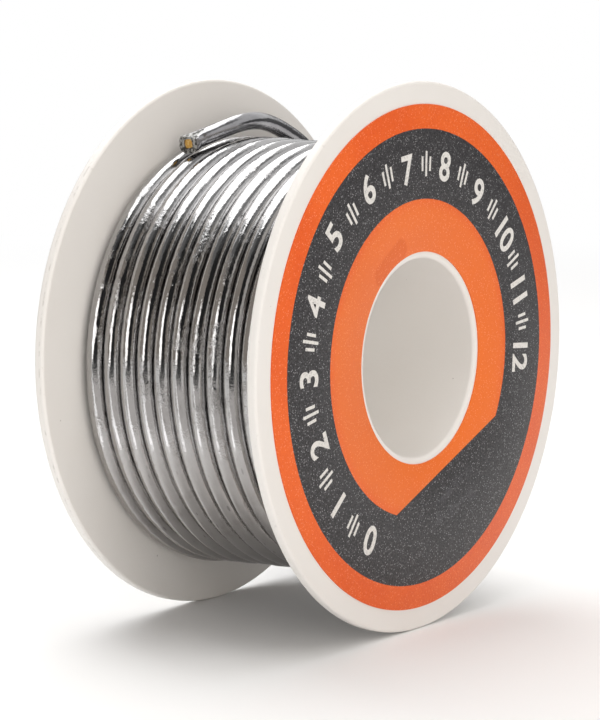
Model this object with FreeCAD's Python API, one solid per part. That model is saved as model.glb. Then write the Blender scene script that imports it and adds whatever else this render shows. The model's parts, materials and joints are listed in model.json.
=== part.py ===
"""Spool of flux-cored solder wire, standing on the rims of its two flanges.

Millimetres, +Z up. The spool's axis lies along Y, with the labelled flange towards -Y,
and the origin is on the axis, half way between the outer faces of the flanges.
The pieces are the moulded body (rear flange, tapered barrel, hub tube and ribs), the
front flange that plugs into its open end, the label, and the wire: an inner layer,
an outer layer of turns, and the free end with its flux core.
"""
import FreeCAD, Part
import math
import os

from FreeCAD import Vector

# Spool
FLANGE_D = 53.0           # both flanges
SPOOL_W = 26.0            # over the outer faces of the flanges
FLANGE_T = 1.1
RIM_ROUND = 0.3           # rounded edges of the rims
BORE_D = 19.2             # takes the spindle of a dispenser
MOUTH_ROUND = 0.4         # rounded ends of the bore
HUB_WALL = 1.2            # tube round the bore
BARREL_D = 34.0           # drum under the wire, at half width
BARREL_WALL = 1.4
DRAFT = 0.03              # radius gained per millimetre towards the rear flange
RIB_COUNT = 6             # webs between hub tube and barrel
RIB_T = 1.0

# Front flange, plugged into the barrel
SPIGOT_DEPTH = 3.0
SPIGOT_WALL = 1.3
SPIGOT_LEAD = 0.3         # chamfer that guides it in
PLUG_CLEARANCE = 0.05     # on the radius, at hub tube and spigot
RIB_CLEARANCE = 0.3       # from the end of the spigot to the ribs

# Label
LABEL_MARGIN = 2.17       # bare plastic between the label and the rim
LABEL_HOLE_MARGIN = 0.65  # bare plastic between the label and the bore
LABEL_T = 0.12

# Wire
WIRE_D = 2.0              # nominal, and the pitch of the turns
TAIL_D = 1.74             # the free end, stretched thinner where it was pulled off
TURN_GAP = 0.44           # left open between the drawn turns
LAYER_SINK = 0.3          # a layer lies this deep in the grooves of the one below
SLACK_DROP = 0.5          # the loosened outer layer hangs this far below the axis
WIRE_CLEARANCE = 0.05     # wire to the barrel under it
SIDE_SPACE = 0.5          # both layers to the rear flange, and at least that to the front one
LAYER_CLEARANCE = 0.05    # inner layer to outer layer
STEP_START = 155.0        # degrees past the left side where a turn steps to the next
CORE_D = 0.8              # flux in the wire

# Free end: route of its centre line from the last turn to the cut
TAIL_LEAD = 4.2           # straight out of the last turn, up to the first bend
TAIL_ROUTE = [
    (22.6, 10.4, 1.9),
    (20.7, 10.1, 9.2),
    (16.9, 9.5, 15.4),
    (11.5, 8.8, 19.5),
    (5.0, 8.4, 22.1),
    (-1.0, 6.9, 22.6),
    (-6.1, 7.3, 21.4),
    (-8.6, 8.7, 20.3),
]
ARC_SHARE = 0.45          # share of the shorter run that each bend takes up

half_w = SPOOL_W / 2
inner_face = half_w - FLANGE_T
flange_r = FLANGE_D / 2
bore_r = BORE_D / 2
hub_r = bore_r + HUB_WALL
wire_r = WIRE_D / 2
tube_r = (WIRE_D - TURN_GAP) / 2
turn_count = int(2 * (inner_face - SIDE_SPACE) / WIRE_D)
axis = Vector(0, 1, 0)


def barrel_radius(y):
    return BARREL_D / 2 + DRAFT * y


def turn_radius(y):
    """Centre line of the outer layer, which is the second one on the barrel."""
    return barrel_radius(y) + wire_r + WIRE_D - LAYER_SINK + SLACK_DROP


def cylinder(radius, y0, y1):
    return Part.makeCylinder(radius, y1 - y0, Vector(0, y0, 0), axis)


def frustum(radius_at, y0, y1):
    """Cone about the axis whose radius at each end is radius_at(y)."""
    return Part.makeCone(radius_at(y0), radius_at(y1), y1 - y0, Vector(0, y0, 0), axis)


def round_edges(shape, radius, at, amount):
    """Fillet the circles of the given radius that lie at the given places along Y."""
    chosen = []
    for edge in shape.Edges:
        curve = edge.Curve
        if not isinstance(curve, Part.Circle) or abs(curve.Radius - radius) > 0.001:
            continue
        if any(abs(curve.Center.y - y) < 0.001 for y in at):
            chosen.append(edge)
    return shape.makeFillet(amount, chosen)


def chamber_radius(y):
    return barrel_radius(y) - BARREL_WALL


def make_spool_body():
    """Rear flange, barrel, hub tube and ribs, moulded in one piece."""
    body = cylinder(flange_r, inner_face, half_w)
    body = round_edges(body, flange_r, (inner_face, half_w), RIM_ROUND)
    barrel = frustum(barrel_radius, -inner_face, inner_face)
    chamber = frustum(chamber_radius, -inner_face, inner_face)
    body = body.fuse(barrel.cut(chamber))
    body = body.fuse(cylinder(hub_r, -half_w, inner_face))
    rib_start = -inner_face + SPIGOT_DEPTH + RIB_CLEARANCE
    reach = chamber_radius(rib_start) + BARREL_WALL / 2
    for k in range(RIB_COUNT):
        rib = Part.makeBox(reach, inner_face - rib_start, RIB_T,
                           Vector(0, rib_start, -RIB_T / 2))
        rib.rotate(Vector(0, 0, 0), axis, 360.0 * (k + 0.5) / RIB_COUNT)
        body = body.fuse(rib)
    body = body.removeSplitter().cut(cylinder(bore_r, -half_w, half_w))
    return round_edges(body, bore_r, (-half_w, half_w), MOUTH_ROUND)


def make_front_flange():
    """Disc with a spigot that plugs into the open end of the barrel."""
    disc = cylinder(flange_r, -half_w, -inner_face)
    disc = round_edges(disc, flange_r, (-half_w, -inner_face), RIM_ROUND)
    spigot_end = -inner_face + SPIGOT_DEPTH
    spigot_r = chamber_radius(-inner_face) - PLUG_CLEARANCE
    spigot = cylinder(spigot_r, -inner_face, spigot_end)
    lead = [e for e in spigot.Edges if isinstance(e.Curve, Part.Circle)
            and abs(e.Curve.Center.y - spigot_end) < 0.001]
    spigot = spigot.makeChamfer(SPIGOT_LEAD, lead)
    spigot = spigot.cut(cylinder(spigot_r - SPIGOT_WALL, -inner_face, spigot_end))
    hole = cylinder(hub_r + PLUG_CLEARANCE, -half_w, -inner_face)
    return disc.fuse(spigot).removeSplitter().cut(hole)


def make_label():
    film = cylinder(flange_r - LABEL_MARGIN, -half_w - LABEL_T, -half_w)
    return film.cut(cylinder(bore_r + LABEL_HOLE_MARGIN, -half_w - LABEL_T, -half_w))


def make_inner_layer():
    """The turns next to the barrel, as one plain sleeve under the outer layer."""
    end = inner_face - SIDE_SPACE

    def outside(y):
        return turn_radius(y) - tube_r - SLACK_DROP - LAYER_CLEARANCE

    def inside(y):
        return barrel_radius(y) + WIRE_CLEARANCE

    return frustum(outside, -end, end).cut(frustum(inside, -end, end))


def arc_from(start, control, end):
    """Arc from start to end, whose tangents at both ends meet at control."""
    middle = (start + end) * 0.5
    rise = control - middle
    leg = (control - start).Length
    half_angle = math.asin(min(1.0, rise.Length / leg))
    if half_angle < 1e-6:
        return Part.LineSegment(start, end).toShape()
    radius = leg / math.tan(half_angle)
    crown = middle + rise.normalize() * (radius * (1 - math.cos(half_angle)))
    return Part.Arc(start, crown, end).toShape()


def biarc(p0, t0, p1, t1):
    """Two arcs that leave p0 along t0 and reach p1 along t1, meeting smoothly."""
    v = p1 - p0
    t = t0 + t1
    a = 2 * (1 - t0.dot(t1))
    b = 2 * v.dot(t)
    c = -v.dot(v)
    leg = -c / b if abs(a) < 1e-9 else (-b + math.sqrt(b * b - 4 * a * c)) / (2 * a)
    c0 = p0 + t0 * leg
    c1 = p1 - t1 * leg
    joint = (c0 + c1) * 0.5
    return [arc_from(p0, c0, joint), arc_from(joint, c1, p1)]


def on_layer(angle, y, lift=0.0):
    """Point of the outer layer. Angle 0 is the left side, 90 the bottom, 270 the top."""
    a = math.radians(angle)
    radius = turn_radius(y) + lift
    return Vector(-radius * math.cos(a), y, -SLACK_DROP - radius * math.sin(a))


def along_layer(angle):
    a = math.radians(angle)
    return Vector(math.sin(a), 0, -math.cos(a))


def outer_layer_knots():
    """Quarter-turn knots: each turn runs level, and steps over in its last quarter."""
    first_y = inner_face - SIDE_SPACE - wire_r - (turn_count - 1) * WIRE_D
    knots = [(STEP_START - 270, first_y, 0.0)]
    for turn in range(turn_count):
        y = first_y + turn * WIRE_D
        for quarter in (180, 90, 0):
            lift = WIRE_D if turn == turn_count - 1 and quarter == 0 else 0.0
            knots.append((360 * turn + STEP_START - quarter, y, lift))
        if turn < turn_count - 1:
            knots.append((360 * turn + STEP_START + 90, y + WIRE_D, 0.0))
    return knots


def outer_layer_edges():
    knots = outer_layer_knots()
    points = [on_layer(*knot) for knot in knots]
    tangents = [along_layer(knot[0]) for knot in knots]
    lead_in = points[0] - tangents[0] * (2 * tube_r)
    lead_out = points[-1] + tangents[-1] * (2 * tube_r)
    edges = [Part.LineSegment(lead_in, points[0]).toShape()]
    for k in range(len(points) - 1):
        edges += biarc(points[k], tangents[k], points[k + 1], tangents[k + 1])
    edges.append(Part.LineSegment(points[-1], lead_out).toShape())
    return edges, lead_out, tangents[-1]


def tail_edges(start, direction):
    """Straight runs joined by tangent arcs, from the last turn to the cut end."""
    points = [start, start + direction * TAIL_LEAD]
    points += [Vector(*p) for p in TAIL_ROUTE]
    edges = []
    last = points[0]
    for k in range(1, len(points) - 1):
        back = points[k - 1] - points[k]
        ahead = points[k + 1] - points[k]
        half_turn = (math.pi - back.getAngle(ahead)) / 2
        leg = ARC_SHARE * min(back.Length, ahead.Length)
        print("tail bend %d: turn %.1f deg, radius %.1f mm"
              % (k, math.degrees(2 * half_turn), leg / math.tan(half_turn)))
        p0 = points[k] + back.normalize() * leg
        p1 = points[k] + ahead.normalize() * leg
        edges.append(Part.LineSegment(last, p0).toShape())
        edges.append(arc_from(p0, points[k], p1))
        last = p1
    edges.append(Part.LineSegment(last, points[-1]).toShape())
    return edges


def tube(edges, radius):
    """Round tube along a chain of edges, in the default pipe mode."""
    path = Part.Wire(edges)
    first = edges[0]
    start = first.valueAt(first.FirstParameter)
    ring = Part.Wire([Part.Circle(start, first.tangentAt(first.FirstParameter),
                                  radius).toShape()])
    solid = path.makePipeShell([ring], True, False)
    expected = math.pi * radius ** 2 * path.Length
    print("tube r %.2f mm, length %.1f mm, volume / (section x length) %.4f"
          % (radius, path.Length, solid.Volume / expected))
    return solid


def least_gap(edges, radius, spacing=0.8):
    """Least distance between stretches of one tube that lie apart along its length."""
    points = []
    travelled = []
    total = 0.0
    for edge in edges:
        count = max(2, int(edge.Length / spacing))
        for k in range(count):
            u = edge.FirstParameter + (edge.LastParameter - edge.FirstParameter) * k / count
            points.append(edge.valueAt(u))
            travelled.append(total + edge.Length * k / count)
        total += edge.Length
    apart = 8 * radius
    cell = 2 * WIRE_D
    grid = {}
    for i, p in enumerate(points):
        key = (int(p.x // cell), int(p.y // cell), int(p.z // cell))
        grid.setdefault(key, []).append(i)
    least = float("inf")
    near = [(a, b, c) for a in (-1, 0, 1) for b in (-1, 0, 1) for c in (-1, 0, 1)]
    for i, p in enumerate(points):
        key = (int(p.x // cell), int(p.y // cell), int(p.z // cell))
        for step in near:
            for j in grid.get(tuple(k + s for k, s in zip(key, step)), []):
                if j > i and travelled[j] - travelled[i] > apart:
                    least = min(least, p.distanceToPoint(points[j]))
    return least - 2 * radius


def export(shape, node):
    solids = shape.Solids
    result = solids[0] if len(solids) == 1 else Part.makeCompound(solids)
    result.exportStep("parts/%s.step" % node)
    box = result.BoundBox
    print("%-18s solids %d valid %s volume %.1f  x %.2f..%.2f y %.2f..%.2f z %.2f..%.2f"
          % (node, len(solids), result.isValid(), result.Volume, box.XMin, box.XMax,
             box.YMin, box.YMax, box.ZMin, box.ZMax))


def main():
    os.makedirs("parts", exist_ok=True)
    export(make_spool_body(), "spool_body")
    export(make_front_flange(), "front_flange")
    export(make_label(), "front_label")
    export(make_inner_layer(), "wire_inner_layer")
    turns, tail_start, tail_direction = outer_layer_edges()
    print("outer layer: least gap to itself %.3f mm" % least_gap(turns, tube_r))
    export(tube(turns, tube_r), "wire_outer_layer")
    route = tail_edges(tail_start, tail_direction)
    core = tube(route, CORE_D / 2)
    export(tube(route, TAIL_D / 2).cut(core), "wire_tail")
    export(core, "flux_core")


main()
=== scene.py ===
# %% [markdown]
# A small spool of solder wire: two thin flanges of off-white plastic, a printed label,
# and two layers of bright soft wire with its free end laid over the turns. The CAD
# model, called the frame here, has every piece at its real size and place. This lesson
# gives each piece its real surface. It begins by loading the frame.
# %% The frame
import json
import math

import bmesh
import bpy
from mathutils import Matrix, Vector, noise


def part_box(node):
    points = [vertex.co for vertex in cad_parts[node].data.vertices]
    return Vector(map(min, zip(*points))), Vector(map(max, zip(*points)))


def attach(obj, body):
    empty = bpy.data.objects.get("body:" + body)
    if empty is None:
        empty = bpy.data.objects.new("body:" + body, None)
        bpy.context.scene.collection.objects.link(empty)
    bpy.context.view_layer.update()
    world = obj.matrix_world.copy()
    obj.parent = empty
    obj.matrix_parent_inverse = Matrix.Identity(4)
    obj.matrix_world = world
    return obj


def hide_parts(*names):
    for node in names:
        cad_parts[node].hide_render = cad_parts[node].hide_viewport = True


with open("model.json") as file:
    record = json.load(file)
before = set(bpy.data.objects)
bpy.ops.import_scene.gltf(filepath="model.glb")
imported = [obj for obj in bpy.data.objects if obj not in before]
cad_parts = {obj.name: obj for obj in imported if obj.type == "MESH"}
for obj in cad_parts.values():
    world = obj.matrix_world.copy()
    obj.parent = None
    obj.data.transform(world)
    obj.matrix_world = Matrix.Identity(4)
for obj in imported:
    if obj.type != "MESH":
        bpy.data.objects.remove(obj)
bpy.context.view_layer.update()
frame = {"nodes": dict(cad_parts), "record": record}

print("CAD nodes:", ", ".join(sorted(frame["nodes"])))

# %% [markdown]
# Most sizes are read from the frame: a node's box gives the spool's radius and width,
# and the record gives its bore. A box says nothing about a wall or a wire, so those sizes
# are written here and beside the pieces that have them, in millimetres turned into metres.
# %% Sizes
MM = 0.001
FLANGE_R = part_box("spool_body")[1].z
HALF_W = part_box("spool_body")[1].y
FLANGE_T = 1.1 * MM
INNER_FACE = HALF_W - FLANGE_T
BORE_R = next(m for m in frame["record"]["mounts"] if m["name"] == "bore")["dims"]["r_mm"] * MM
LABEL_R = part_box("front_label")[1].z
LABEL_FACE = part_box("front_label")[0].y
print("flange radius %.2f mm, width %.2f mm, bore radius %.2f mm"
      % (FLANGE_R / MM, 2 * HALF_W / MM, BORE_R / MM))

# %% [markdown]
# The camera comes before any piece, because every later choice is judged through it. It
# stands a quarter of a metre away, to the left of the labelled flange and a little above
# the axis, with a long lens. The azimuth is 0 for a camera that looks along +Y.
# %% Camera
CAMERA_AT = Vector((-209.534, -150.054, 29.015)) * MM
CAMERA_AZIMUTH = math.radians(-54.15)
CAMERA_ELEVATION = math.radians(6.66)
LENS_MM = 130.943

camera = bpy.data.objects.new("camera", bpy.data.cameras.new("camera"))
camera.data.lens = LENS_MM
camera.data.clip_start = 0.01
camera.location = CAMERA_AT
camera.rotation_euler = (math.pi / 2 - CAMERA_ELEVATION, 0, CAMERA_AZIMUTH)
bpy.context.scene.collection.objects.link(camera)
bpy.context.scene.camera = camera
print("camera %.0f mm from the origin" % (CAMERA_AT.length / MM))

# %% [markdown]
# Every tube here, a turn or the free end, is a curve with a round bevel that is then
# made a mesh. A few small steps come back with every piece, so they have names here.
# Points that lie closer together than the first number are welded into one.
# %% Curves, meshes and pieces
SAME_PLACE = 0.001 * MM
SHARP_FROM = math.radians(40)


def link(name, data):
    obj = bpy.data.objects.new(name, data)
    bpy.context.scene.collection.objects.link(obj)
    return obj


def mesh_of(name, bm):
    """A bmesh as a mesh of that name. The bmesh is used up."""
    mesh = bpy.data.meshes.new(name)
    bm.to_mesh(mesh)
    bm.free()
    return mesh


def weld(bm):
    bmesh.ops.remove_doubles(bm, verts=bm.verts[:], dist=SAME_PLACE)


def face_outwards(bm):
    bmesh.ops.recalc_face_normals(bm, faces=bm.faces[:])


def round_edges(bm, edges, amount, segments):
    bmesh.ops.bevel(bm, geom=edges, offset=amount, offset_type="OFFSET", segments=segments,
                    profile=0.5, affect="EDGES", material=-1)


def line_mesh(curve):
    """A curve as a mesh, bevelled or as its bare line."""
    carrier = link("carrier", curve)
    mesh = bpy.data.meshes.new_from_object(carrier)
    bpy.data.objects.remove(carrier)
    return mesh


def tube_bmesh(curve, radius, sides):
    """The curve as an open round tube, and its length."""
    bare = line_mesh(curve)
    length = sum((bare.vertices[k + 1].co - bare.vertices[k].co).length
                 for k in range(len(bare.vertices) - 1))
    curve.bevel_depth = radius
    curve.bevel_resolution = (sides - 4) // 2
    bm = bmesh.new()
    bm.from_mesh(line_mesh(curve))
    curve.bevel_depth = 0
    return bm, length


def piece(name, bm, *nodes):
    """Finish a bmesh as a named piece that rides on the spool and stands for CAD nodes."""
    mesh = mesh_of(name, bm)
    mesh.shade_smooth()
    mesh.set_sharp_from_angle(angle=SHARP_FROM)
    obj = link(name, mesh)
    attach(obj, "root")
    if nodes:
        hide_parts(*nodes)
    print("%s: %d faces" % (name, len(mesh.polygons)))
    return obj


# %% [markdown]
# The free end is the one cord on the spool. It leaves the last turn low on the far side,
# climbs over the top, lifts clear of the turns in a shallow hump and ends just short of
# the rear flange, where it was pinched off. Soft solder wire keeps the bends that a hand
# gave it, so its line is a smooth spline through few points. The first one is where the
# last turn ends, and the wire starts out in that turn's own direction. Its first points
# are as thick as the turn, and the rest is a little thinner, as pulled wire is.
# %% Route of the free end
WIRE_D = 2.0 * MM
WIRE_R = WIRE_D / 2
TURN_R = WIRE_R - 0.05 * MM
TAIL_R = 0.87 * MM
TAIL_START = Vector((21.062, 10.4, -8.6)) * MM
TAIL_DIRECTION = Vector((0.4226, 0, 0.9063))
TAIL_LEAD = 4.2 * MM
THICK_POINTS = 2
TAIL_ROUTE = [
    (22.6, 10.4, 1.9),
    (20.7, 10.1, 9.2),
    (16.9, 9.5, 15.4),
    (11.5, 8.8, 19.5),
    (5.0, 8.4, 22.1),
    (-1.0, 6.9, 22.6),
    (-6.1, 7.3, 21.4),
    (-8.6, 8.7, 20.3),
]

tail_points = [TAIL_START, TAIL_START + TAIL_DIRECTION * TAIL_LEAD]
tail_points += [Vector(p) * MM for p in TAIL_ROUTE]
tail_curve = bpy.data.curves.new("tail_line", "CURVE")
tail_curve.dimensions = "3D"
tail_curve.resolution_u = 32
spline = tail_curve.splines.new("NURBS")
spline.points.add(len(tail_points) - 1)
for k, place in enumerate(tail_points):
    spline.points[k].co = (*place, 1)
    spline.points[k].radius = TURN_R / TAIL_R if k < THICK_POINTS else 1
spline.order_u = 3
spline.use_endpoint_u = True
tail_path = [v.co.copy() for v in line_mesh(tail_curve).vertices]
tail_end = tail_path[-1]
near_end = tail_path[-4]
end_direction = (tail_end - near_end).normalized()
print("free end: %d points along its line" % len(tail_path))

# %% [markdown]
# The wire is a tube of solder round a thread of flux, so the free end gets a wall: an
# outer tube and an inner one, joined by a ring at each end. The pliers that cut it came
# in at a slant and pressed the last millimetre and a half from round towards square. A
# superellipse does that: its radius grows towards the corners, and it is blended in by the
# distance from the cut. The slant shifts each point along the wire, back on the near side
# and on at the far side.
# %% How the pliers shape an end
PINCH_LENGTH = 1.6 * MM
PINCH_POWER = 3.6
PINCH_WIDE = 1.19
PINCH_TALL = 1.08
CUT_SLANT = 0.62
CUT_TOWARDS = Vector((-0.54, -0.8, 0.27))
CUT_BACK = 0.12 * MM
CUT_ROUGH = 0.09 * MM
CUT_GRAIN = 0.3 * MM


def ease(t):
    """0 up to t = 0, 1 from t = 1 on, and a smooth rise between."""
    t = min(max(t, 0.0), 1.0)
    return t * t * (3 - 2 * t)


def unevenness(place, size, height):
    """Noise at a place, with bumps of that size and about that height."""
    return noise.noise(place / size) * height


def pinch(verts, end, direction):
    """Square the wire up near its end, and slant and roughen the cut."""
    side = direction.cross(Vector((0, 0, 1))).normalized()
    up = side.cross(direction)
    near = (CUT_TOWARDS - direction * CUT_TOWARDS.dot(direction)).normalized()
    for v in verts:
        back = (end - v.co).dot(direction)
        if back > PINCH_LENGTH:
            continue
        weight = ease(1 - back / PINCH_LENGTH)
        across = v.co - end + direction * back
        a = across.dot(side)
        b = across.dot(up)
        r = math.hypot(a, b)
        square = (abs(a / r) ** PINCH_POWER + abs(b / r) ** PINCH_POWER) ** (-1 / PINCH_POWER)
        a_new = a * (1 + weight * (square * PINCH_WIDE - 1))
        b_new = b * (1 + weight * (square * PINCH_TALL - 1))
        shift = unevenness(v.co, CUT_GRAIN, CUT_ROUGH) - CUT_SLANT * across.dot(near) - CUT_BACK
        v.co += side * (a_new - a) + up * (b_new - b) + direction * shift * weight


# %% [markdown]
# On top of the last three millimetres the pliers also left a rough flat, which runs out
# as a point. Every vertex above a slightly tilted plane is pressed down to it. The flat
# and the ring round the flux get a second material slot, because torn solder is paler
# and rougher than drawn solder.
# %% Free end of the wire
CORE_R = 0.42 * MM
TAIL_SIDES = 48
END_REACH = 1.2 * TAIL_R
FLAT_LENGTH = 3.1 * MM
FLAT_DEPTH = 0.27 * MM
FLAT_NORMAL = Vector((-0.451, -0.113, 0.885))
FLAT_ROUGH = 0.05 * MM
FLAT_GRAIN = 0.22 * MM


def flatten(verts, end, direction):
    """Press the verts above the tilted plane down to it and return them."""
    normal = (FLAT_NORMAL - direction * FLAT_NORMAL.dot(direction)).normalized()
    pressed = set()
    for v in verts:
        back = (end - v.co).dot(direction)
        depth = FLAT_DEPTH * (1 - max(back, 0) / FLAT_LENGTH)
        above = (v.co - end).dot(normal) - (TAIL_R - depth)
        if back < FLAT_LENGTH and above > 0:
            v.co += normal * (unevenness(v.co, FLAT_GRAIN, FLAT_ROUGH) - above)
            pressed.add(v)
    return pressed


tail, tail_length = tube_bmesh(tail_curve, TAIL_R, TAIL_SIDES)
inner, _ = tube_bmesh(tail_curve, CORE_R, TAIL_SIDES)
bmesh.ops.reverse_faces(inner, faces=inner.faces[:])
tail.from_mesh(mesh_of("inner", inner))
weld(tail)
for end in (tail_path[0], tail_end):
    rims = [e for e in tail.edges if e.is_boundary
            and (e.verts[0].co - end).length < END_REACH]
    for face in bmesh.ops.bridge_loops(tail, edges=rims)["faces"]:
        face.material_index = 1
face_outwards(tail)
pinch(tail.verts, tail_end, end_direction)
pressed = flatten(tail.verts, tail_end, end_direction)
for face in tail.faces:
    if pressed.issuperset(face.verts):
        face.material_index = 1
free_end = piece("free_end", tail, "wire_tail")

# %% [markdown]
# The flux is brittle amber rosin. It fills the middle of the wire, and at the cut it has
# broken off just below the metal, so its thread stops a little short and its face is
# uneven. With it made, the length of the free end is printed.
# %% Flux core
FLUX_R = 0.4 * MM
FLUX_DEPTH = 0.1 * MM
FLUX_CREST = 0.12 * MM
FLUX_SIDES = 24
core, _ = tube_bmesh(tail_curve, FLUX_R, FLUX_SIDES)
weld(core)
pinch(core.verts, tail_end, end_direction)
caps = bmesh.ops.holes_fill(core, edges=[e for e in core.edges if e.is_boundary], sides=0)
for cap in caps["faces"]:
    middle = bmesh.ops.poke(core, faces=[cap])["verts"][0]
    if (middle.co - tail_end).length < TAIL_R:
        broken = {v for f in middle.link_faces for v in f.verts}
        bmesh.ops.translate(core, verts=list(broken), vec=-end_direction * FLUX_DEPTH)
        middle.co += end_direction * FLUX_CREST
face_outwards(core)
flux_thread = piece("flux_thread", core, "flux_core")
print("free end %.1f mm long" % (tail_length / MM))

# %% [markdown]
# The turns are one wire. The inner layer winds from the rear flange to the front one,
# climbs, and winds back over itself as the outer layer, which has worked a little loose
# and hangs half a millimetre low. On the side that faces the viewer each turn runs level,
# and it steps over to the next place on the far side. So a turn's place is a formula of
# one angle, and a slow wobble makes the turns differ as hand-laid ones do. The outer layer
# hides where the two are joined, and here the inner one ends one pitch short of it.
# %% Path of the turns
BARREL_R = 17.0 * MM
DRAFT = 0.03
LAYER_SINK = 0.3 * MM
SLACK_DROP = 0.5 * MM
SIDE_SPACE = 0.5 * MM
TURN_COUNT = 11
STEP_START = 155
QUARTER = 90
FRONT_Y = -(INNER_FACE - SIDE_SPACE - WIRE_R)
FIRST_Y = -FRONT_Y - (TURN_COUNT - 1) * WIRE_D
LAYER_START = STEP_START - 3 * QUARTER
LAYER_END = 360 * (TURN_COUNT - 1) + STEP_START
OUTER_START = LAYER_START - QUARTER
INNER_START = OUTER_START - 360 * TURN_COUNT + 2 * QUARTER
SWAY = 0.06 * MM
SWAY_SPAN = 47
SWELL = 0.09 * MM
SWELL_SPAN = 41


def slow_noise(angle, span, line):
    """Noise that changes over a span of degrees. Each line holds other noise."""
    return noise.noise(Vector((angle / span, line, 0.5)))


def stepped(angle, first, pitch):
    """Place along the axis: level, but for a step over in one quarter of each turn."""
    turns = (angle - STEP_START) / 360
    whole = math.floor(turns)
    return first + pitch * (whole + ease((turns - whole) * 360 / QUARTER))


def on_spool(angle, y, radius, drop):
    """Angle 0 is the left side seen from the front, 90 the bottom, 270 the top."""
    a = math.radians(angle)
    sway = SWAY * slow_noise(angle, SWAY_SPAN, line=0.5)
    swell = SWELL * slow_noise(angle, SWELL_SPAN, line=7.5)
    radius = radius + DRAFT * y + swell
    return Vector((-radius * math.cos(a), y + sway, -drop - radius * math.sin(a)))


def outer_layer(angle):
    """It climbs from the barrel by the front flange, and its end lifts onto its own turns."""
    climb = ease((angle - LAYER_START + QUARTER) / QUARTER)
    lift = WIRE_D * ease((angle - LAYER_END + QUARTER) / QUARTER)
    y = FRONT_Y + climb * (FIRST_Y - FRONT_Y)
    if climb == 1:
        y = stepped(angle, FIRST_Y, WIRE_D)
    radius = BARREL_R + WIRE_R + climb * (WIRE_D - LAYER_SINK + SLACK_DROP) + lift
    return on_spool(angle, y, radius, SLACK_DROP * climb)


def inner_layer(angle):
    """It lies on the barrel and steps over towards the front flange."""
    y = stepped(angle, FRONT_Y, -WIRE_D)
    return on_spool(angle, y, BARREL_R + WIRE_R, 0)


# %% [markdown]
# Each layer is a line of points a few degrees apart, made a tube as the free end was.
# The outer layer hides nearly all of the inner one, so that tube has fewer sides.
# %% The two layers of turns
DEGREES_A_POINT = 3.75
OUTER_SIDES = 24
INNER_SIDES = 12


def layer_curve(name, place, start, end):
    count = round((end - start) / DEGREES_A_POINT)
    curve = bpy.data.curves.new(name, "CURVE")
    curve.dimensions = "3D"
    line = curve.splines.new("POLY")
    line.points.add(count)
    for k in range(count + 1):
        line.points[k].co = (*place(start + (end - start) * k / count), 1)
    return curve


def layer(name, node, place, start, end, sides, last=None):
    curve = layer_curve(name, place, start, end)
    if last is not None:
        line = curve.splines[0]
        line.points.add(1)
        line.points[-1].co = (*last, 1)
    bm, length = tube_bmesh(curve, TURN_R, sides)
    weld(bm)
    bmesh.ops.holes_fill(bm, edges=[e for e in bm.edges if e.is_boundary], sides=0)
    face_outwards(bm)
    made = piece(name, bm, node)
    print("%s holds %.2f m of wire" % (name, length))
    return made


outer_turns = layer("outer_turns", "wire_outer_layer", outer_layer,
                    OUTER_START, LAYER_END, OUTER_SIDES, last=TAIL_START)
inner_turns = layer("inner_turns", "wire_inner_layer", inner_layer,
                    INNER_START, OUTER_START, INNER_SIDES)

# %% [markdown]
# Both plastic pieces are turned shapes, so each is a profile spun once round the axis.
# The profile holds radius and place along the axis, corner by corner. A real moulding
# has no sharp corner, so the rings that a hand can reach are bevelled after the spin,
# picked by their radius and place.
# %% Turned shapes
SPIN_STEPS = 256
RING_REACH = 0.002 * MM
RIM_ROUND = 0.3 * MM
MOUTH_ROUND = 0.4 * MM


def turned(profile, rounds, segments=6):
    """Spin corners of (radius, y) round the axis, and round the rings given the same way."""
    bm = bmesh.new()
    verts = [bm.verts.new((r, y, 0)) for r, y in profile]
    edges = [bm.edges.new((verts[k - 1], verts[k])) for k in range(len(verts))]
    bmesh.ops.spin(bm, geom=verts + edges, cent=(0, 0, 0), axis=(0, 1, 0),
                   angle=math.tau, steps=SPIN_STEPS, use_merge=True)
    face_outwards(bm)
    for ring_r, ring_y, amount in rounds:
        ring = [e for e in bm.edges if all(
            abs(math.hypot(v.co.x, v.co.z) - ring_r) < RING_REACH
            and abs(v.co.y - ring_y) < RING_REACH for v in e.verts)]
        round_edges(bm, ring, amount, segments)
    return bm


# %% [markdown]
# The body is one moulding: rear flange, barrel with its draft, and the hub tube that
# lines the bore. Six webs tie hub and barrel together inside, where the core pin of the
# mould left a chamber. They are hidden once the front flange is on, but the part would
# flex without them.
# %% Spool body
HUB_WALL = 1.2 * MM
HUB_R = BORE_R + HUB_WALL
BARREL_WALL = 1.4 * MM
BARREL_FRONT = BARREL_R - DRAFT * INNER_FACE
BARREL_REAR = BARREL_R + DRAFT * INNER_FACE

body = turned(
    [(BORE_R, -HALF_W),
     (HUB_R, -HALF_W),
     (HUB_R, INNER_FACE),
     (BARREL_REAR - BARREL_WALL, INNER_FACE),
     (BARREL_FRONT - BARREL_WALL, -INNER_FACE),
     (BARREL_FRONT, -INNER_FACE),
     (BARREL_REAR, INNER_FACE),
     (FLANGE_R, INNER_FACE),
     (FLANGE_R, HALF_W),
     (BORE_R, HALF_W)],
    [(BORE_R, -HALF_W, MOUTH_ROUND), (BORE_R, HALF_W, MOUTH_ROUND),
     (FLANGE_R, INNER_FACE, RIM_ROUND), (FLANGE_R, HALF_W, RIM_ROUND)])
spool_body = piece("spool_body_moulding", body, "spool_body")

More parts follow.
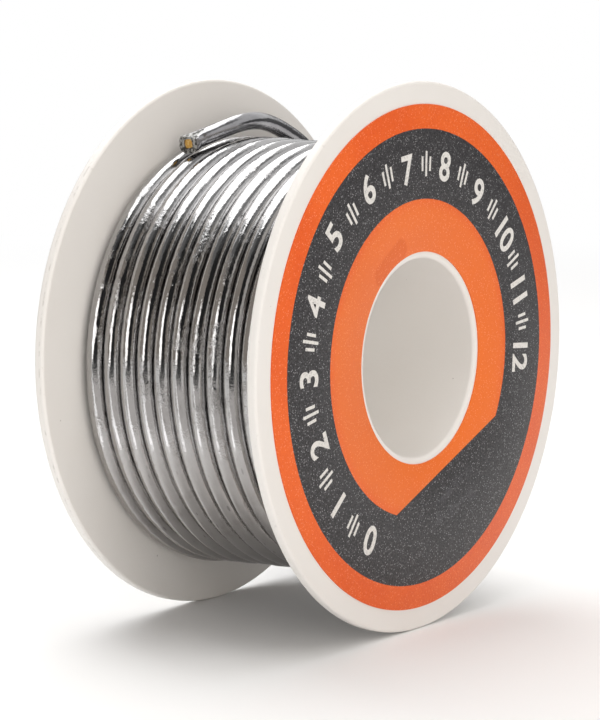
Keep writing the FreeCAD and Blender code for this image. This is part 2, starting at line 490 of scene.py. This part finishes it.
# %% Webs inside the barrel
WEB_COUNT = 6
WEB_T = 1.0 * MM
SPIGOT_DEPTH = 3.0 * MM
WEB_CLEARANCE = 0.3 * MM
WEB_BITE = 0.3 * MM
WEB_ROUND = 0.1 * MM
web_start = -INNER_FACE + SPIGOT_DEPTH + WEB_CLEARANCE
web_in = HUB_R - WEB_BITE
web_out = BARREL_FRONT - BARREL_WALL / 2
webs = bmesh.new()
size = Vector((web_out - web_in, INNER_FACE - web_start, WEB_T))
middle = Vector(((web_out + web_in) / 2, (INNER_FACE + web_start) / 2, 0))
for k in range(WEB_COUNT):
    turn = Matrix.Rotation(math.tau * (k + 0.5) / WEB_COUNT, 4, "Y")
    bmesh.ops.create_cube(webs, size=1, matrix=turn @ Matrix.Translation(middle)
                          @ Matrix.Diagonal((*size, 1)))
round_edges(webs, webs.edges[:], WEB_ROUND, segments=2)
barrel_webs = piece("barrel_webs", webs, "spool_body")

# %% [markdown]
# The front flange is a separate disc, because the mould of the body has to open
# somewhere. Its spigot, with a rounded end, plugs into the barrel, and its hole fits over
# the hub tube.
# %% Front flange
PLUG_CLEARANCE = 0.05 * MM
SPIGOT_WALL = 1.3 * MM
SPIGOT_ROUND = 0.3 * MM
spigot_r = BARREL_FRONT - BARREL_WALL - PLUG_CLEARANCE
spigot_end = -INNER_FACE + SPIGOT_DEPTH
hole_r = HUB_R + PLUG_CLEARANCE
flange = turned(
    [(hole_r, -HALF_W),
     (FLANGE_R, -HALF_W),
     (FLANGE_R, -INNER_FACE),
     (spigot_r, -INNER_FACE),
     (spigot_r, spigot_end),
     (spigot_r - SPIGOT_WALL, spigot_end),
     (spigot_r - SPIGOT_WALL, -INNER_FACE),
     (hole_r, -INNER_FACE)],
    [(FLANGE_R, -HALF_W, RIM_ROUND), (FLANGE_R, -INNER_FACE, RIM_ROUND),
     (spigot_r, spigot_end, SPIGOT_ROUND)])
front_flange = piece("front_flange_moulding", flange, "front_flange")

# %% [markdown]
# The label is a film about a tenth of a millimetre thick. Its edge catches a thin line of
# light or shadow, so it is a real disc with a tiny bevel and not a colour on the flange.
# %% Label
HOLE_MARGIN = 0.65 * MM
LABEL_HOLE_R = BORE_R + HOLE_MARGIN
FILM_ROUND = 0.03 * MM
film = turned(
    [(LABEL_HOLE_R, LABEL_FACE), (LABEL_R, LABEL_FACE), (LABEL_R, -HALF_W),
     (LABEL_HOLE_R, -HALF_W)],
    [(LABEL_R, LABEL_FACE, FILM_ROUND), (LABEL_HOLE_R, LABEL_FACE, FILM_ROUND)], segments=2)
label = piece("label_film", film, "front_label")

# %% [markdown]
# The dark band of the label carries light print. Here it is a plain dial: the numbers 0
# to 12 with graduations between them, from the lower left clockwise to the right. Each
# number is a text curve made a mesh, turned so that its top points outwards. Ink has
# hardly any thickness, but a hundredth of a millimetre keeps it clear of the film.
# %% Dial on the label
DIAL_R = 18.65 * MM
DIAL_FIRST = 242
DIAL_STEP = 20.5
DIAL_LAST = 12
DIGIT_SIZE = 3.9 * MM
DIGIT_BOLD = 0.08 * MM
DIGIT_SPACING = 0.9
TICK_PLACES = (0.4, 0.5, 0.6)
TICK_LENGTHS = (1.4 * MM, 2.4 * MM, 1.4 * MM)
TICK_WIDTH = 0.3 * MM
INK_T = 0.012 * MM


def on_label(angle):
    """Frame whose X runs clockwise round the dial, Y outwards and Z out of the label."""
    a = math.radians(angle)
    axes = Matrix(((math.sin(a), math.cos(a), 0), (0, 0, -1), (-math.cos(a), math.sin(a), 0)))
    place = Vector((DIAL_R * math.cos(a), LABEL_FACE, DIAL_R * math.sin(a)))
    return Matrix.Translation(place) @ axes.to_4x4()


def number_mesh(number):
    text = bpy.data.curves.new("number", "FONT")
    text.body = str(number)
    text.size = DIGIT_SIZE
    text.offset = DIGIT_BOLD
    text.align_x = "CENTER"
    text.space_character = DIGIT_SPACING
    text.extrude = INK_T
    mesh = line_mesh(text)
    middle = sum(v.co.y for v in mesh.vertices) / len(mesh.vertices)
    mesh.transform(Matrix.Translation((0, -middle, 0)))
    return mesh


dial = bmesh.new()
for number in range(DIAL_LAST + 1):
    angle = DIAL_FIRST - DIAL_STEP * number
    mesh = number_mesh(number)
    mesh.transform(on_label(angle))
    dial.from_mesh(mesh)
    if number < DIAL_LAST:
        for place, length in zip(TICK_PLACES, TICK_LENGTHS):
            bmesh.ops.create_cube(dial, size=1, matrix=on_label(angle - DIAL_STEP * place)
                                  @ Matrix.Diagonal((TICK_WIDTH, length, 2 * INK_T, 1)))
dial_print = piece("label_dial", dial)

# %% [markdown]
# Materials are built from nodes, and written as sums. One small class holds a socket of
# a node tree. Python's operators on it add Math nodes, and one method adds any other
# node from its type, its settings and what its sockets hold.
# %% Writing materials as sums
class Value:
    """A socket of a material's nodes that can be used in Python arithmetic."""

    def __init__(self, tree, socket=None):
        self.tree = tree
        self.socket = socket

    def node(self, kind, sockets, out=0, **settings):
        made = self.tree.nodes.new(kind)
        for name, setting in settings.items():
            setattr(made, name, setting)
        for key, held in sockets.items():
            if isinstance(held, Value):
                self.tree.links.new(held.socket, made.inputs[key])
            else:
                made.inputs[key].default_value = held
        if isinstance(out, tuple):
            return [Value(self.tree, made.outputs[k]) for k in out]
        return Value(self.tree, made.outputs[out])

    def math(self, operation, *terms):
        return self.node("ShaderNodeMath", dict(enumerate(terms)), operation=operation)

    def __add__(self, other):
        return self.math("ADD", self, other)

    def __radd__(self, other):
        return self.math("ADD", other, self)

    def __sub__(self, other):
        return self.math("SUBTRACT", self, other)

    def __rsub__(self, other):
        return self.math("SUBTRACT", other, self)

    def __mul__(self, other):
        return self.math("MULTIPLY", self, other)

    def __rmul__(self, other):
        return self.math("MULTIPLY", other, self)

    def __truediv__(self, other):
        return self.math("DIVIDE", self, other)

    def __pow__(self, other):
        return self.math("POWER", self, other)

    def __abs__(self):
        return self.math("ABSOLUTE", self)

    def at_most(self, other):
        return self.math("MINIMUM", self, other)

    def at_least(self, other):
        return self.math("MAXIMUM", self, other)

    def above(self, start, full):
        """0 up to start, 1 from full on, and a smooth rise between."""
        return self.node("ShaderNodeMapRange", {"Value": self, "From Min": start,
                                                "From Max": full},
                         interpolation_type="SMOOTHSTEP")

    def past(self, place, soft):
        """0 before a place and 1 after it, with a rise that reaches as far on both sides."""
        return self.above(place - soft, place + soft)


# %% [markdown]
# A few helpers name what the finishes below are made of: a colour mix, noise, scattered
# dots, a stroke, and the place of a point in millimetres. Noise and dots take a scale, in
# cells a millimetre. Numbers that are the same all over are set straight on the shader's
# own sockets. A mix node has sockets for each kind of data, so those for colour are named.
# %% Helpers for finishes
MIX_FACTOR = 0
MIX_FIRST = 6
MIX_SECOND = 7
MIXED = 2
SMALLEST_DOT = 0.4
DOT_SOFT_FROM = 0.75
JUST_OVER = 0.001


def mix(factor, first, second):
    return factor.node("ShaderNodeMix", {MIX_FACTOR: factor, MIX_FIRST: first,
                                         MIX_SECOND: second}, out=MIXED, data_type="RGBA")


def grain(where, scale, detail=2.0, roughness=0.5):
    return where.node("ShaderNodeTexNoise", {"Vector": where, "Scale": scale,
                                             "Detail": detail, "Roughness": roughness})


def dots(where, scale, radius, share):
    """Round dots of up to a radius in millimetres, in a share of the cells of a grid."""
    near, tint = where.node("ShaderNodeTexVoronoi", {"Vector": where, "Scale": scale},
                            out=("Distance", "Color"))
    chance, spread = tint.node("ShaderNodeSeparateColor", {"Color": tint},
                               out=("Red", "Green"))
    reach = radius * scale * (SMALLEST_DOT + spread * (1 - SMALLEST_DOT))
    inside = 1 - (near / reach).above(DOT_SOFT_FROM, 1.0)
    return inside * chance.above(1 - share, 1 - share + JUST_OVER)


def hypot(a, b):
    return (a * a + b * b) ** 0.5


def new_material(name, constants):
    material = bpy.data.materials.new(name)
    material.use_nodes = True
    shader = material.node_tree.nodes["Principled BSDF"]
    for socket, held in constants.items():
        shader.inputs[socket].default_value = held
    return material, shader, Value(material.node_tree)


def feed(shader, socket, value):
    value.tree.links.new(value.socket, shader.inputs[socket])


def feed_bump(shader, height, unit):
    """Tilt the shader's normal by a height, counted in a unit given in millimetres."""
    feed(shader, "Normal", height.node("ShaderNodeBump", {"Height": height, "Strength": 1.0,
                                                          "Distance": unit * MM}))


def place_mm(start):
    """Place in the spool's frame in millimetres."""
    raw = start.node("ShaderNodeTexCoord", {}, out="Object")
    return raw.node("ShaderNodeVectorMath", {0: raw, "Scale": 1 / MM}, operation="SCALE")


def split(where):
    return where.node("ShaderNodeSeparateXYZ", {"Vector": where}, out=("X", "Y", "Z"))


def stroke(x, z, start, end, width, soft):
    """1 on a straight stroke across the flange's face, given by its ends and its width."""
    across = Vector(end) - Vector(start)
    off_x = x - start[0]
    off_z = z - start[1]
    along = (off_x * across.x + off_z * across.y) / across.length_squared
    along = along.at_least(0.0).at_most(1.0)
    near = hypot(off_x - along * across.x, off_z - along * across.y)
    return 1 - near.above(width / 2, width / 2 + soft)


def dress(material, *objects):
    for obj in objects:
        obj.data.materials.append(material)
    print("%s on %s" % (material.name, ", ".join(o.name for o in objects)))


# %% [markdown]
# The flanges are cheap off-white plastic with a satin skin. It is a little milky, has
# fine specks, and picks up grey dirt where it is handled: along the rims, and in a broken
# line round the rear one, where the halves of its mould met. Here and below, a share says
# how much of a colour is mixed in.
# %% White plastic
WHITE = (0.79, 0.768, 0.74, 1)
SHADE_WHITE = (0.755, 0.722, 0.68, 1)
SPECK = (0.30, 0.27, 0.25, 1)
DIRT = (0.42, 0.385, 0.35, 1)
SHADE_SHARE = 0.4
SPECK_SHARE = 0.6
RIM_SHARE = 0.25
LINE_SHARE = 0.4
RIM_FROM = FLANGE_R / MM - 0.6
RIM_FULL = FLANGE_R / MM - 0.1
LINE_AT = HALF_W / MM - 0.68
LINE_WIDTH = 0.12
LINE_SOFT = 0.06
SKIN_DEPTH = 0.012

plastic, shader, start = new_material("moulded_white", {"IOR": 1.46})
where = place_mm(start)
x, y, z = split(where)
rim = hypot(x, z).above(RIM_FROM, RIM_FULL)
off_line = abs(y - LINE_AT)
line = rim * (1 - off_line.above(LINE_WIDTH / 2, LINE_WIDTH / 2 + LINE_SOFT))
rim_dirt = rim * grain(where, 1.7, 4.0, 0.7).above(0.6, 0.72)
line_dirt = line * grain(where, 0.8, 3.0, 0.6).above(0.48, 0.6)
cloud = grain(where, 0.11, 3.0).above(0.25, 0.8)
specks = dots(where, 0.42, 0.11, 0.22)
colour = mix(cloud * SHADE_SHARE, WHITE, SHADE_WHITE)
colour = mix(rim_dirt * RIM_SHARE + line_dirt * LINE_SHARE, colour, DIRT)
colour = mix(specks * SPECK_SHARE, colour, SPECK)
feed(shader, "Base Color", colour)
feed(shader, "Roughness", 0.36 + grain(where, 0.9, 3.0) * 0.16)
feed_bump(shader, grain(where, 5.0, 3.0) * 0.6 + grain(where, 0.6, 2.0), SKIN_DEPTH)
dress(plastic, spool_body, barrel_webs, front_flange)

# %% [markdown]
# The label's print is rings, so its colour is worked out from the radius: orange, a dark
# band, and orange again round the hole. A straight chord cuts the inner orange off at the
# lower right. The film is pebbled, and the glints on its pebbles are painted into both inks
# as fine pale points. Use has left marks on it: a smear of flux above the hole and dull
# scuffs on the dark band. Each is a stroke with its two ends, its width and how far it
# fades out, in millimetres.
# %% Label inks
BAND_OUT = 22.0
BAND_IN = 15.3
INNER_FULL = 14.0
INNER_OUT = 16.0
CHORD_AT = 11.85
CHORD_DIRECTION = (0.392, -0.92)
PRINT_SOFT = 0.03
PRINT_WANDER = 0.06
SMEAR_STROKE = ((-3.7, 10.7), (-7.1, 8.4), 1.6, 0.4)
LONG_SCUFF = ((2.3, -16.6), (9.4, -14.3), 0.25, 0.9)
SHORT_SCUFF = ((3.35, -14.3), (8.8, -12.0), 0.2, 0.7)
ORANGE = (0.81, 0.133, 0.016, 1)
ORANGE_DEEP = (0.70, 0.085, 0.008, 1)
ORANGE_INNER = (0.83, 0.185, 0.02, 1)
# Pale points on both inks are painted glints, the light that the film's pebbles catch.
ORANGE_PAINTED_GLINT = (0.96, 0.36, 0.18, 1)
BLACK = (0.02, 0.018, 0.02, 1)
BLACK_PAINTED_GLINT = (0.4, 0.4, 0.41, 1)
SMEAR = (0.72, 0.11, 0.0, 1)
SCUFF = (0.11, 0.11, 0.12, 1)
DEEP_SHARE = 0.5
INNER_SHARE = 0.6
SMEAR_SHARE = 0.75
SCUFF_SHARE = 0.35
ORANGE_GLINT_SHARE = 0.5
BLACK_GLINT_SHARE = 0.6
BLACK_FLECK_SHARE = 0.12
PEBBLE_DEPTH = 0.03

ink, shader, start = new_material("label_ink", {"IOR": 1.5, "Specular IOR Level": 0.3})
where = place_mm(start)
x, _, z = split(where)
edge = hypot(x, z) + (grain(where, 2.5) - 0.5) * PRINT_WANDER
chord = (x * CHORD_DIRECTION[0] + z * CHORD_DIRECTION[1]).past(CHORD_AT, PRINT_SOFT)
dark = edge.past(BAND_IN, PRINT_SOFT).at_least(chord) * (1 - edge.past(BAND_OUT, PRINT_SOFT))
# The scattered points are painted glints on the pebbled film.
points = dots(where, 4.6, 0.085, 0.55)
fleck = grain(where, 6.0, 2.0, 0.8).above(0.42, 0.68)
cloud = grain(where, 0.08).above(0.35, 0.65)
orange = mix((cloud + fleck) * DEEP_SHARE, ORANGE, ORANGE_DEEP)
orange = mix((1 - edge.above(INNER_FULL, INNER_OUT)) * INNER_SHARE, orange, ORANGE_INNER)
orange = mix(stroke(x, z, *SMEAR_STROKE) * SMEAR_SHARE, orange, SMEAR)
orange = mix(points * ORANGE_GLINT_SHARE, orange, ORANGE_PAINTED_GLINT)
scuffs = stroke(x, z, *LONG_SCUFF).at_least(stroke(x, z, *SHORT_SCUFF))
scuffs = scuffs * grain(where, 1.5, 4.0, 0.7).above(0.4, 0.62)
pale = fleck * BLACK_FLECK_SHARE + points * BLACK_GLINT_SHARE
black = mix(pale, BLACK, BLACK_PAINTED_GLINT)
black = mix(scuffs * SCUFF_SHARE, black, SCUFF)
feed(shader, "Base Color", mix(dark, orange, black))
feed(shader, "Roughness", 0.36 + points * 0.2)
feed_bump(shader, grain(where, 4.5, 3.0, 0.7), PEBBLE_DEPTH)
dress(ink, label)

# %% [markdown]
# The print on the dark band is an off-white ink with the same pebbled skin under it.
# %% Light ink
LIGHT_INK = (0.74, 0.72, 0.69, 1)
LIGHT_INK_WORN = (0.5, 0.49, 0.47, 1)
INK_PEBBLE_DEPTH = 0.02

light_ink, shader, start = new_material("light_ink", {"IOR": 1.5, "Roughness": 0.42,
                                                      "Specular IOR Level": 0.3})
where = place_mm(start)
feed(shader, "Base Color", mix(grain(where, 5.0, 3.0, 0.7).above(0.5, 0.68), LIGHT_INK,
                               LIGHT_INK_WORN))
feed_bump(shader, grain(where, 6.0, 2.0, 0.6), INK_PEBBLE_DEPTH)
dress(light_ink, dial_print)

# %% [markdown]
# Solder wire is drawn through a die, which leaves it as bright as a mirror with the
# finest lines along it, and it is so soft that handling bends, dents and dulls it in
# patches. Nearly all of it lies round the spool, so its pattern follows it in the spool's
# own round coordinates: place along the axis, radius, and distance round the barrel. The
# place where the last one starts again is at the bottom, where the spool stands. Down
# there the turns have more nicks and are a little rougher, and a warm sheen, the table
# that they mirror, is painted into their colour. The heights of lines, waves, kinks, dents
# and pits count in hundredths of a millimetre.
# %% Solder
BRIGHT = (0.45, 0.445, 0.445, 1)
BRIGHT_TARNISH = (0.3, 0.29, 0.285, 1)
# The free end's darker colours are partly its duller skin and partly painted shade.
DULL_SHADED = (0.3, 0.295, 0.305, 1)
DULL_SHADED_TARNISH = (0.13, 0.125, 0.135, 1)
GRIME = (0.10, 0.09, 0.088, 1)
# Painted warm sheen for the lower turns, where they mirror the table.
LOW_WARM_SHEEN = (0.46, 0.43, 0.41, 1)
TARNISH_SHARE = 0.35
WORN_TARNISH_SHARE = 0.5
LOW_SHEEN_SHARE = 0.35
PIT_SHARE = 0.4
NICK_SHARE = 0.45
NICKS_HIGH_UP = 0.25
LOW_FROM = -3.0
LOW_FULL = -13.0
LINE_HEIGHT = 1.0
WAVE_HEIGHT = 7
KINK_HEIGHT = 14
DENT_HEIGHT = 6
DENTS_UNWORN = 0.3
PIT_DEPTH = 3
HEIGHT_UNIT = 0.01


def stretched(where, across, along):
    """Round coordinates times one number across the wire and another one along it."""
    return where.node("ShaderNodeVectorMath", {0: where, 1: (across, across, along)},
                      operation="MULTIPLY")


def solder(name, clean, tarnished, roughness, more_worn):
    material, shader, start = new_material(name, {"Metallic": 1.0})
    x, y, z = split(place_mm(start))
    arc = x.math("ARCTAN2", x, z) * (BARREL_R + WIRE_R) / MM
    where = start.node("ShaderNodeCombineXYZ", {"X": y, "Y": hypot(x, z), "Z": arc})
    low = 1 - z.above(LOW_FULL, LOW_FROM)
    lines = grain(stretched(where, 5, 0.05), 1.0, 1.0)
    kinks = grain(stretched(where, 0.5, 0.06), 1.0, 1.0)
    waves = grain(stretched(where, 0.7, 0.25), 1.0, 1.0)
    dents = grain(where, 3.4, 3.0, 0.7)
    worn = grain(where, 0.2, 3.0, 0.7).above(0.6 - more_worn, 0.72 - more_worn)
    tarnish = grain(stretched(where, 0.9, 0.3), 1.0, 4.0, 0.7).above(0.42, 0.68)
    pits = dots(where, 0.9, 0.09, 0.25)
    nicks = dots(stretched(where, 1.0, 0.3), 2.4, 0.12, 0.3)
    nicks = nicks * (NICKS_HIGH_UP + low * (1 - NICKS_HIGH_UP))
    colour = mix(tarnish * (TARNISH_SHARE + worn * WORN_TARNISH_SHARE), clean, tarnished)
    # Towards the bottom a warm sheen is painted in, the table that the turns mirror.
    colour = mix(low * LOW_SHEEN_SHARE, colour, LOW_WARM_SHEEN)
    colour = mix((pits * PIT_SHARE).at_least(nicks * NICK_SHARE), colour, GRIME)
    feed(shader, "Base Color", colour)
    feed(shader, "Roughness", roughness + worn * 0.04 + tarnish * 0.01 + low * 0.05)
    height = kinks * KINK_HEIGHT + waves * WAVE_HEIGHT + lines * LINE_HEIGHT
    height = height + dents * (DENTS_UNWORN + worn) * DENT_HEIGHT - pits * PIT_DEPTH
    feed_bump(shader, height, HEIGHT_UNIT)
    return material


dress(solder("bright_wire", BRIGHT, BRIGHT_TARNISH, roughness=0.035, more_worn=0.08),
      outer_turns, inner_turns)
# A darker copy of the solder for the free end: partly its duller skin, partly painted shade.
dress(solder("dull_shaded_wire", DULL_SHADED, DULL_SHADED_TARNISH, roughness=0.06, more_worn=0.02), free_end)

# %% [markdown]
# The torn solder at the cut is bare fresh metal, crumbled and pale.
# %% Torn solder
TORN = (0.38, 0.38, 0.37, 1)
TORN_DARK = (0.07, 0.068, 0.065, 1)
CRUMBLE_DEPTH = 0.1

torn, shader, start = new_material("torn_solder", {"Metallic": 1.0})
crumble = grain(place_mm(start), 3.2, 3.0, 0.65)
feed(shader, "Base Color", mix(crumble.above(0.46, 0.58), TORN, TORN_DARK))
feed(shader, "Roughness", 0.34 + crumble * 0.2)
feed_bump(shader, crumble, CRUMBLE_DEPTH)
dress(torn, free_end)

# %% [markdown]
# Rosin is amber and breaks like glass. Its broken face is dusted with its own pale
# crumbs, which hide how clear it is.
# %% Rosin
AMBER = (0.52, 0.27, 0.035, 1)
AMBER_DUST = (0.62, 0.42, 0.14, 1)
BROKEN_DEPTH = 0.08

rosin, shader, start = new_material("rosin", {"Roughness": 0.3, "IOR": 1.53})
where = place_mm(start)
feed(shader, "Base Color", mix(grain(where, 4.0, 3.0).above(0.5, 0.65), AMBER, AMBER_DUST))
feed_bump(shader, grain(where, 5.0, 3.0), BROKEN_DEPTH)
dress(rosin, flux_thread)

# %% [markdown]
# The spool stands on a pale floor. Round the spool it is plain paint, so it keeps the
# shadow. Further out it turns into even white for the rays that a viewer sees directly
# or in a reflection, so that it meets the white world with no horizon.
# %% Floor and background
FLOOR_REACH = 12.0
FLOOR_COLOUR = (0.9, 0.9, 0.9, 1)
PURE_WHITE = (1, 1, 1, 1)
WHITE_FROM = 0.10
WHITE_AT = 0.55
FILL_COLOUR = (1.0, 0.965, 0.92, 1)
FILL_STRENGTH = 0.3


def seen_ray(start):
    """1 for a ray that the viewer sees directly, in a reflection or through something."""
    direct, glossy, through = start.node(
        "ShaderNodeLightPath", {},
        out=("Is Camera Ray", "Is Glossy Ray", "Is Transmission Ray"))
    return direct.at_least(glossy).at_least(through)


floor_bm = bmesh.new()
bmesh.ops.create_grid(floor_bm, x_segments=1, y_segments=1, size=FLOOR_REACH,
                      matrix=Matrix.Translation((0, 0, -FLANGE_R)))
floor = link("floor", mesh_of("floor", floor_bm))
paint, shader, start = new_material("floor_paint", {"Base Color": FLOOR_COLOUR, "Roughness": 0.8,
                                                    "Specular IOR Level": 0.1})
x, y, _ = split(place_mm(start))
far = (hypot(x, y) * MM).above(WHITE_FROM, WHITE_AT)
painted = Value(start.tree, shader.outputs[0])
glow = start.node("ShaderNodeEmission", {"Color": PURE_WHITE, "Strength": 1.0})
blend = start.node("ShaderNodeMixShader", {0: seen_ray(start) * far, 1: painted, 2: glow})
feed(paint.node_tree.nodes["Material Output"], "Surface", blend)
dress(paint, floor)

world = bpy.data.worlds.new("studio")
world.use_nodes = True
bpy.context.scene.world = world
background = world.node_tree.nodes["Background"]
seen = seen_ray(Value(world.node_tree))
feed(background, "Color", mix(seen, FILL_COLOUR, PURE_WHITE))
feed(background, "Strength", FILL_STRENGTH + seen * (1 - FILL_STRENGTH))
print("floor at %.1f mm" % (-FLANGE_R / MM))

# %% [markdown]
# The light is a studio's: a large soft box above and behind, and a narrow one on the
# left, which draws a bright line down each turn. Two more light the label and reach in
# between the flanges, one from high in front and one from low beside the camera. They are
# kept out of reflections, where only their light is wanted. Each is given by how bright
# it looks, from which its power follows.
# %% Lamps
FILL_TINT = (1.0, 0.955, 0.91)


def soft_box(name, azimuth, elevation, distance, wide, tall, brightness, colour=(1, 1, 1)):
    """A lamp that faces the spool, from its direction in degrees and its distance."""
    lamp = bpy.data.lights.new(name, "AREA")
    lamp.shape = "RECTANGLE"
    lamp.size = wide
    lamp.size_y = tall
    lamp.energy = brightness * math.pi * wide * tall
    lamp.color = colour
    obj = link(name, lamp)
    a = math.radians(azimuth)
    e = math.radians(elevation)
    out = Vector((math.cos(e) * math.cos(a), math.cos(e) * math.sin(a), math.sin(e)))
    obj.location = out * distance
    obj.rotation_euler = out.to_track_quat("Z", "Y").to_euler()
    print("%s: %.2f W" % (name, lamp.energy))
    return obj


soft_box("overhead", 58, 66.5, distance=0.5, wide=0.44, tall=0.82, brightness=2.7)
soft_box("edge_line", 173, 10.5, distance=0.45, wide=0.16, tall=0.25, brightness=2.7)
front_fill = soft_box("front_fill", 255, 50, distance=0.6, wide=0.4, tall=0.5,
                      brightness=1.5, colour=FILL_TINT)
left_fill = soft_box("left_fill", 236, 8, distance=0.6, wide=0.5, tall=0.4,
                     brightness=2.5, colour=FILL_TINT)
for unseen in (front_fill, left_fill):
    unseen.visible_glossy = False

# %% [markdown]
# Bright metal shows the room as much as itself. In a white room it would look like white
# paint, so a photographer stands dark cards beside it. They are out of the picture and
# only reflections see them. Each is a piece of a ring round the set, given by the
# directions it covers as seen from the spool, and most reach down to the ring's foot on
# the floor. Two more lie on the floor: a pale one, where the turns mirror the table in
# front of them, and a narrow bright one.
# %% Dark cards
CARD_R = 0.52
CARD_FOOT = -2.9
CARD_STEPS = 32
ABOVE_FLOOR = 0.2 * MM
WARM = (1.0, 0.9, 0.8)
FAINTLY_WARM = (1.0, 0.96, 0.93)


def card(name, shape, strength, colour=(1, 1, 1)):
    """A card of even glow that only reflections see."""
    bm = bmesh.new()
    shape(bm)
    mesh = mesh_of(name, bm)
    obj = link(name, mesh)
    material = bpy.data.materials.new(name)
    material.use_nodes = True
    tree = material.node_tree
    glow = Value(tree).node("ShaderNodeEmission", {"Color": (*colour, 1), "Strength": strength})
    feed(tree.nodes["Material Output"], "Surface", glow)
    mesh.materials.append(material)
    obj.visible_camera = False
    obj.visible_diffuse = False
    obj.visible_shadow = False


def ring_part(azimuths, elevations, reach=CARD_R):
    """Part of an upright ring, from its azimuths and elevations in degrees."""
    def make(bm):
        a = math.radians(azimuths[0])
        verts = [bm.verts.new((reach * math.cos(a), reach * math.sin(a),
                               reach * math.tan(math.radians(e)))) for e in elevations]
        edge = bm.edges.new(verts)
        bmesh.ops.spin(bm, geom=verts + [edge], cent=(0, 0, 0), axis=(0, 0, 1),
                       steps=CARD_STEPS, angle=math.radians(azimuths[1] - azimuths[0]))
    return make


def floor_strip(azimuth, near, far, wide):
    """A strip just over the floor, out from the spool's foot between two distances."""
    def make(bm):
        turn = Matrix.Rotation(math.radians(azimuth), 4, "Z")
        middle = Matrix.Translation(((near + far) / 2, 0, -FLANGE_R + ABOVE_FLOOR))
        bmesh.ops.create_grid(bm, x_segments=1, y_segments=1, size=0.5,
                              matrix=turn @ middle @ Matrix.Diagonal((far - near, wide, 1, 1)))
    return make


card("back_card", ring_part((-45, 75), (CARD_FOOT, 17)), 0.18)
card("far_card", ring_part((75, 186), (CARD_FOOT, 45)), 0.4, WARM)
card("far_card_top", ring_part((126, 186), (40, 68)), 0.2)
card("near_card", ring_part((186, 242), (CARD_FOOT, 52)), 0.03)
card("near_card_top", ring_part((186, 242), (52, 70)), 0.1)
card("side_card_low", ring_part((225, 250), (CARD_FOOT, 16), reach=0.5), 0.4, WARM)
card("side_card", ring_part((242, 264), (CARD_FOOT, 50)), 0.34, WARM)
card("high_card", ring_part((242, 345), (50, 73)), 0.38)
card("low_card", ring_part((168, 222), (-9.5, -2.0), reach=0.158), 0.1)
card("floor_shade", floor_strip(200, near=0.045, far=0.16, wide=0.16), 0.8, FAINTLY_WARM)
card("floor_glint", floor_strip(168, near=0.04, far=0.15, wide=0.013), 2.2)

# %% [markdown]
# Blender keeps its standard view, in which a colour renders as it is written.
# %% Colour view
bpy.context.scene.view_settings.view_transform = "Standard"
